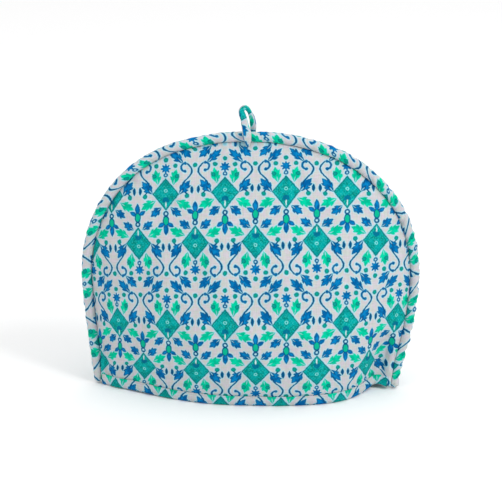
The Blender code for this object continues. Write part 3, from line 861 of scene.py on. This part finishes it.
def printed_cotton(name):
    """Block-printed cotton: lozenges, leaves, buds, scrolls and dots in rows, each row turned over in the next."""
    global TREE
    made = bpy.data.materials.new(name)
    made.use_nodes = True
    TREE = made.node_tree
    shader = TREE.nodes["Principled BSDF"]
    uv = TREE.nodes.new("ShaderNodeUVMap")
    uv.uv_map = "cloth"
    cloth = Num(uv.outputs[0])

    wobble = TREE.nodes.new("ShaderNodeTexNoise")
    wobble.noise_dimensions = "2D"
    put(wobble.inputs["Vector"], cloth)
    wobble.inputs["Scale"].default_value = 0.35
    wobble.inputs["Detail"].default_value = 2.0
    shake = TREE.nodes.new("ShaderNodeVectorMath")
    shake.operation = "MULTIPLY_ADD"
    TREE.links.new(wobble.outputs["Color"], shake.inputs[0])
    shake.inputs[1].default_value = (1.1, 1.1, 0)
    TREE.links.new(uv.outputs[0], shake.inputs[2])
    across, down = parts(Num(shake.outputs[0]))
    across, down = across - 0.55, down - 0.55

    # the repeat: mirrored across, and turned over with a half step down
    x1 = calc("PINGPONG", across, 30.25)
    t = calc("FLOORED_MODULO", down + 41.3, 131.6)
    y1 = t - 41.3
    turned = calc("GREATER_THAN", t, 65.8)
    y = calc("PINGPONG", t, 65.8) - 41.3
    x = abs(x1 - turned * 30.25)
    P = vector(x, y)
    y0 = y1 - calc("GREATER_THAN", y1, 24.5) * 131.6  # the same, centred on the line y = -41.3
    M = vector(x1, y0)

    # Plain figures of this file's own, on whole sizes: only their kind, place and scale follow the cosy.
    # --- lozenge
    lozenge = (x / 14.0 + abs(y) / 17.0 - 1.0) * 10.8

    # --- teal dots
    dots = lowest(*(dot(P, at, level, 2.2) for at, level in ((10, -30), (12, -19), (22, 2), (0, -36), (30.25, -30))))

    # --- green leaves and the hearts of the buds
    green = lowest(sprig(P, (8, -10), (11, -26), 3.4), sprig(P, (11, 7), (26, 14), 3.4))
    heart = away_from(local(P, 30.25, 22, 0, 2.5, 4.0), 0, 0) * 3.0 - 3.0
    heart_2 = away_from(local(P, 0, 27, 0, 2.5, 4.0), 0, 0) * 3.0 - 3.0
    hearts = lowest(heart, heart_2)

    # --- blue: leaves, a waved vine, a curl and a star
    blades = lowest(sprig(P, (14, 0), (25, -14), 3.6), sprig(P, (5, 14), (16, 22), 3.0))
    ends = lowest(sprig(M, (14, -50), (26, -38), 3.2), sprig(M, (18, -32), (4, -46), 3.2))
    vine = highest(abs(x - 22.0 - calc("SINE", y * (math.pi / 16)) * 5.0) - 0.8, abs(y + 16.0) - 16.0)
    curl = lowest(highest(arc(P, 20, -28, 4.0, 0.8), x - 20.0), dot(P, 20, -24, 1.4), dot(P, 20, -32, 1.4))
    star_p = local(P, 0, -27, 0, 1.0, 1.0)
    star_x, star_y = parts(star_p)
    star = away_from(star_p, 0, 0) - 4.0 - calc("COSINE", calc("ARCTAN2", star_y, star_x) * 8.0)
    ring = arc(P, 0, -20, 1.6, 0.5)
    # buds: a heart in its case, three petals, a ring over it
    case = hearts - 0.9
    petals = lowest(leaf(P, (30.25, 20), (30.25, 8), 2.5), leaf(P, (29, 20), (22, 16), 2.0))
    hook = arc(P, 0, 20, 2.0, 0.6)
    filler = leaf(P, (27, 0), (27, -8), 1.5)

    blue_light = lowest(star, blades, ends, curl, petals, ring)
    dark = lowest(vine, filler, hook, case)
    blue = lowest(blue_light, dark)

    # --- colours
    blot = noise(cloth, 0.22, 3.0)
    fine = noise(cloth, 1.6, 2.0)
    grey = mix(step(blot, 0.38, 0.62), linear(210, 202, 212), linear(202, 207, 202))
    grey = mix(step(fine, 0.35, 0.75) * 0.35, grey, linear(222, 224, 226))
    nearest = lowest(lozenge, dots, green, blue, hearts)
    colour = mix(step(nearest, 1.6, 0.8) * 0.85, grey, linear(184, 227, 237))
    colour = mix(step(nearest, 0.95, 0.4) * 0.75, colour, linear(128, 206, 224))

    shade = noise(cloth, 0.16, 2.0)
    blue_colour = mix(step(shade, 0.35, 0.65), linear(0, 98, 164), linear(4, 134, 200))
    blue_colour = mix(step(blue, 0.0, -1.3), linear(0, 84, 138), blue_colour)
    blue_colour = mix(step(dark - blue_light, 0.3, -0.3), blue_colour, linear(8, 84, 132))
    colour = mix(step(blue, 0.5, -0.2), colour, blue_colour)
    green_colour = mix(step(shade, 0.4, 0.62), linear(0, 190, 150), linear(0, 214, 168))
    colour = mix(step(green, 0.5, -0.2), colour, green_colour)
    colour = mix(step(hearts, 0.3, -0.6), colour, linear(10, 190, 150))
    dot_colour = mix(step(dots, -0.1, -1.0), linear(0, 122, 116), linear(8, 158, 146))
    colour = mix(step(dots, 0.4, -0.25), colour, dot_colour)

    # the lozenge, worked all over in small rings
    a, b = x / 13.7 + y / 16.4, x / 13.7 - y / 16.4
    jog = (noise(cloth, 0.5, 2.0) - 0.5) * 1.7
    jog_2 = (noise(local(cloth, 7.3, 3.1, 0, 1.0), 0.5, 2.0) - 0.5) * 1.7
    pa, pb = calc("PINGPONG", a * 4.0 + 0.5 + jog, 0.5), calc("PINGPONG", b * 4.0 + 0.5 + jog_2, 0.5)
    cell = calc("SQRT", pa * pa + pb * pb)
    patchy = noise(cloth, 0.3, 2.0)
    speck = step(cell, 0.40, 0.16) * step(fine, 0.38, 0.54) * (step(patchy, 0.36, 0.56) * 0.7 + 0.3)
    loop_speck = step(cell, 0.42, 0.62)
    body = mix(step(shade, 0.38, 0.62), linear(0, 138, 126), linear(0, 172, 170))
    body = mix(step(noise(cloth, 0.55, 1.0), 0.45, 0.65) * 0.7, body, linear(0, 178, 176))
    body = mix(loop_speck * step(noise(cloth, 0.8, 1.0), 0.3, 0.7) * 0.5, body, linear(0, 126, 128))
    body = mix(speck * 0.75, body, linear(60, 212, 204))
    body = mix(step(y, -6.0, -14.0) * 0.5, body, linear(0, 128, 130))
    eye = arc(P, 0, -3, 1.4, 0.4)
    body = mix(step(eye, 0.3, -0.2), body, linear(130, 222, 222))
    fan = highest(dot(P, 0, 7, 3.6), y - 8.5)
    body = mix(step(fan, 0.5, -0.5) * 0.85, body, linear(0, 106, 146))
    drop = away_from(local(P, 0, 11, 0, 0.6, 2.4), 0, 0) - 1.0
    body = mix(step(drop, 0.5, -0.2) * 0.9, body, linear(214, 240, 242))
    rim = mix(step(lozenge, -0.5, -1.3), linear(0, 118, 124), body)
    colour = mix(step(lozenge, 0.25, -0.25), colour, rim)

    # --- the weave: threads both ways, and slubs in the colour
    wu, wv = parts(cloth)
    warp = calc("SINE", wu * (2 * math.pi / 0.50))
    weft = calc("SINE", wv * (2 * math.pi / 0.53))
    slub_u = noise(local(cloth, 0, 0, 0, 14.0, 0.8), 1.0, 2.0)
    slub_v = noise(local(cloth, 0, 0, 0, 0.8, 14.0), 1.0, 2.0)
    thread = (slub_u + slub_v) * 0.5
    tone = step(thread, 0.25, 0.75) * 0.16 + 0.84
    toned = TREE.nodes.new("ShaderNodeMix")
    toned.data_type = "RGBA"
    toned.blend_type = "MULTIPLY"
    toned.inputs["Factor"].default_value = 1.0
    put(toned.inputs[6], colour)
    put(toned.inputs[7], tone)
    TREE.links.new(toned.outputs[2], shader.inputs["Base Color"])

    height = warp * weft * 0.5 + thread * 2.0 + noise(cloth, 0.9, 3.0) * 1.6
    bump = TREE.nodes.new("ShaderNodeBump")
    bump.inputs["Strength"].default_value = 0.55
    bump.inputs["Distance"].default_value = 0.00012
    put(bump.inputs["Height"], height)
    TREE.links.new(bump.outputs[0], shader.inputs["Normal"])
    rough = step(thread, 0.2, 0.8) * 0.10 + 0.80
    put(shader.inputs["Roughness"], rough)
    shader.inputs["Specular IOR Level"].default_value = 0.03
    shader.inputs["Sheen Weight"].default_value = 0.01
    shader.inputs["Sheen Roughness"].default_value = 0.6
    return made


def plain_cotton(name, rgb):
    """Unbleached lining cotton."""
    global TREE
    made = bpy.data.materials.new(name)
    made.use_nodes = True
    TREE = made.node_tree
    shader = TREE.nodes["Principled BSDF"]
    uv = TREE.nodes.new("ShaderNodeUVMap")
    uv.uv_map = "cloth"
    cloth = Num(uv.outputs[0])
    slub_u = noise(local(cloth, 0, 0, 0, 12.0, 0.7), 1.0, 2.0)
    slub_v = noise(local(cloth, 0, 0, 0, 0.7, 12.0), 1.0, 2.0)
    thread = (slub_u + slub_v) * 0.5
    low = tuple(c * 0.90 for c in rgb[:3]) + (1.0,)
    colour = mix(step(thread, 0.25, 0.75), low, rgb)
    colour = mix(step(noise(cloth, 0.05, 2.0), 0.4, 0.7) * 0.3, colour, tuple(c * 0.93 for c in rgb[:3]) + (1.0,))
    put(shader.inputs["Base Color"], colour)
    wu, wv = parts(cloth)
    warp = calc("SINE", wu * (2 * math.pi / 0.55))
    weft = calc("SINE", wv * (2 * math.pi / 0.58))
    bump = TREE.nodes.new("ShaderNodeBump")
    bump.inputs["Strength"].default_value = 0.6
    bump.inputs["Distance"].default_value = 0.00015
    put(bump.inputs["Height"], warp * weft * 0.5 + thread * 2.0 + noise(cloth, 0.4, 2.0) * 2.0)
    TREE.links.new(bump.outputs[0], shader.inputs["Normal"])
    put(shader.inputs["Roughness"], step(thread, 0.2, 0.8) * 0.08 + 0.84)
    shader.inputs["Specular IOR Level"].default_value = 0.2
    shader.inputs["Sheen Weight"].default_value = 0.1
    return made


def floor_material():
    global TREE
    made = bpy.data.materials.new("floor")
    made.use_nodes = True
    TREE = made.node_tree
    shader = TREE.nodes["Principled BSDF"]
    shader.inputs["Base Color"].default_value = (0.97, 0.97, 0.97, 1)
    shader.inputs["Roughness"].default_value = 0.9
    shader.inputs["Specular IOR Level"].default_value = 0.1
    return made


# ----------------------------------------------------------------------- scene
def main():
    scene = bpy.context.scene
    scene.view_settings.view_transform = "Standard"
    look = Vector((0.000497, 0.001623, 0.1335))
    tilt = math.radians(18.0)
    data = bpy.data.cameras.new("camera")
    data.lens = 136.0
    data.sensor_width = 36.0
    data.clip_end = 60.0
    camera = bpy.data.objects.new("camera", data)
    camera.location = look + Vector((0, -math.cos(tilt), math.sin(tilt))) * 1.8
    camera.rotation_euler = Euler((math.radians(90) - tilt, 0, 0))
    scene.collection.objects.link(camera)
    scene.camera = camera

    printed = printed_cotton("printed_cotton")
    lining = plain_cotton("lining_cotton", linear(226, 224, 218))

    across, up = ((250, 184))
    panel_front = make_panel("padded_panel_front", -1, across, up, printed, lining)
    panel_back = make_panel("padded_panel_back", 1, across, up, printed, lining)
    piping = make_piping("corded_piping", printed)
    loop = make_loop("hanging_loop", printed)
    bind_front = make_binding("bound_hem_front", -1, printed)
    bind_back = make_binding("bound_hem_back", 1, printed)
    for obj, node in (
        (panel_front, "panel_front"),
        (panel_back, "panel_back"),
        (piping, "piping"),
        (loop, "loop"),
        (bind_front, "hem_binding_front"),
        (bind_back, "hem_binding_back"),
    ):
        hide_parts(node)
        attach(obj, "root")

    # floor, world and lights
    mesh = bpy.data.meshes.new("floor")
    mesh.from_pydata([(-9, -9, 0), (9, -9, 0), (9, 9, 0), (-9, 9, 0)], [], [(0, 1, 2, 3)])
    mesh.materials.append(floor_material())
    ground = bpy.data.objects.new("floor", mesh)
    ground.location.z = -0.0002
    scene.collection.objects.link(ground)

    world = bpy.data.worlds.new("studio")
    scene.world = world
    world.use_nodes = True
    world.node_tree.nodes["Background"].inputs[0].default_value = (1, 1, 1, 1)
    world.node_tree.nodes["Background"].inputs[1].default_value = 0.5

    for name, place, size, power in (
        ("key", (1.5, -1.3, 1.9), 0.8, 26.0),
        ("fill", (-1.6, -1.6, 1.0), 1.6, 5.0),
        ("overhead", (0.0, 1.4, 3.4), 7.0, 125.0),
    ):
        light = bpy.data.lights.new(name, "AREA")
        light.shape = "SQUARE"
        light.size = size
        light.energy = power
        lamp = bpy.data.objects.new(name, light)
        lamp.location = place
        lamp.rotation_euler = (Vector((0, 1.4 if name == "overhead" else 0, 0.1)) - Vector(place)).to_track_quat("-Z", "Y").to_euler()
        scene.collection.objects.link(lamp)


main()
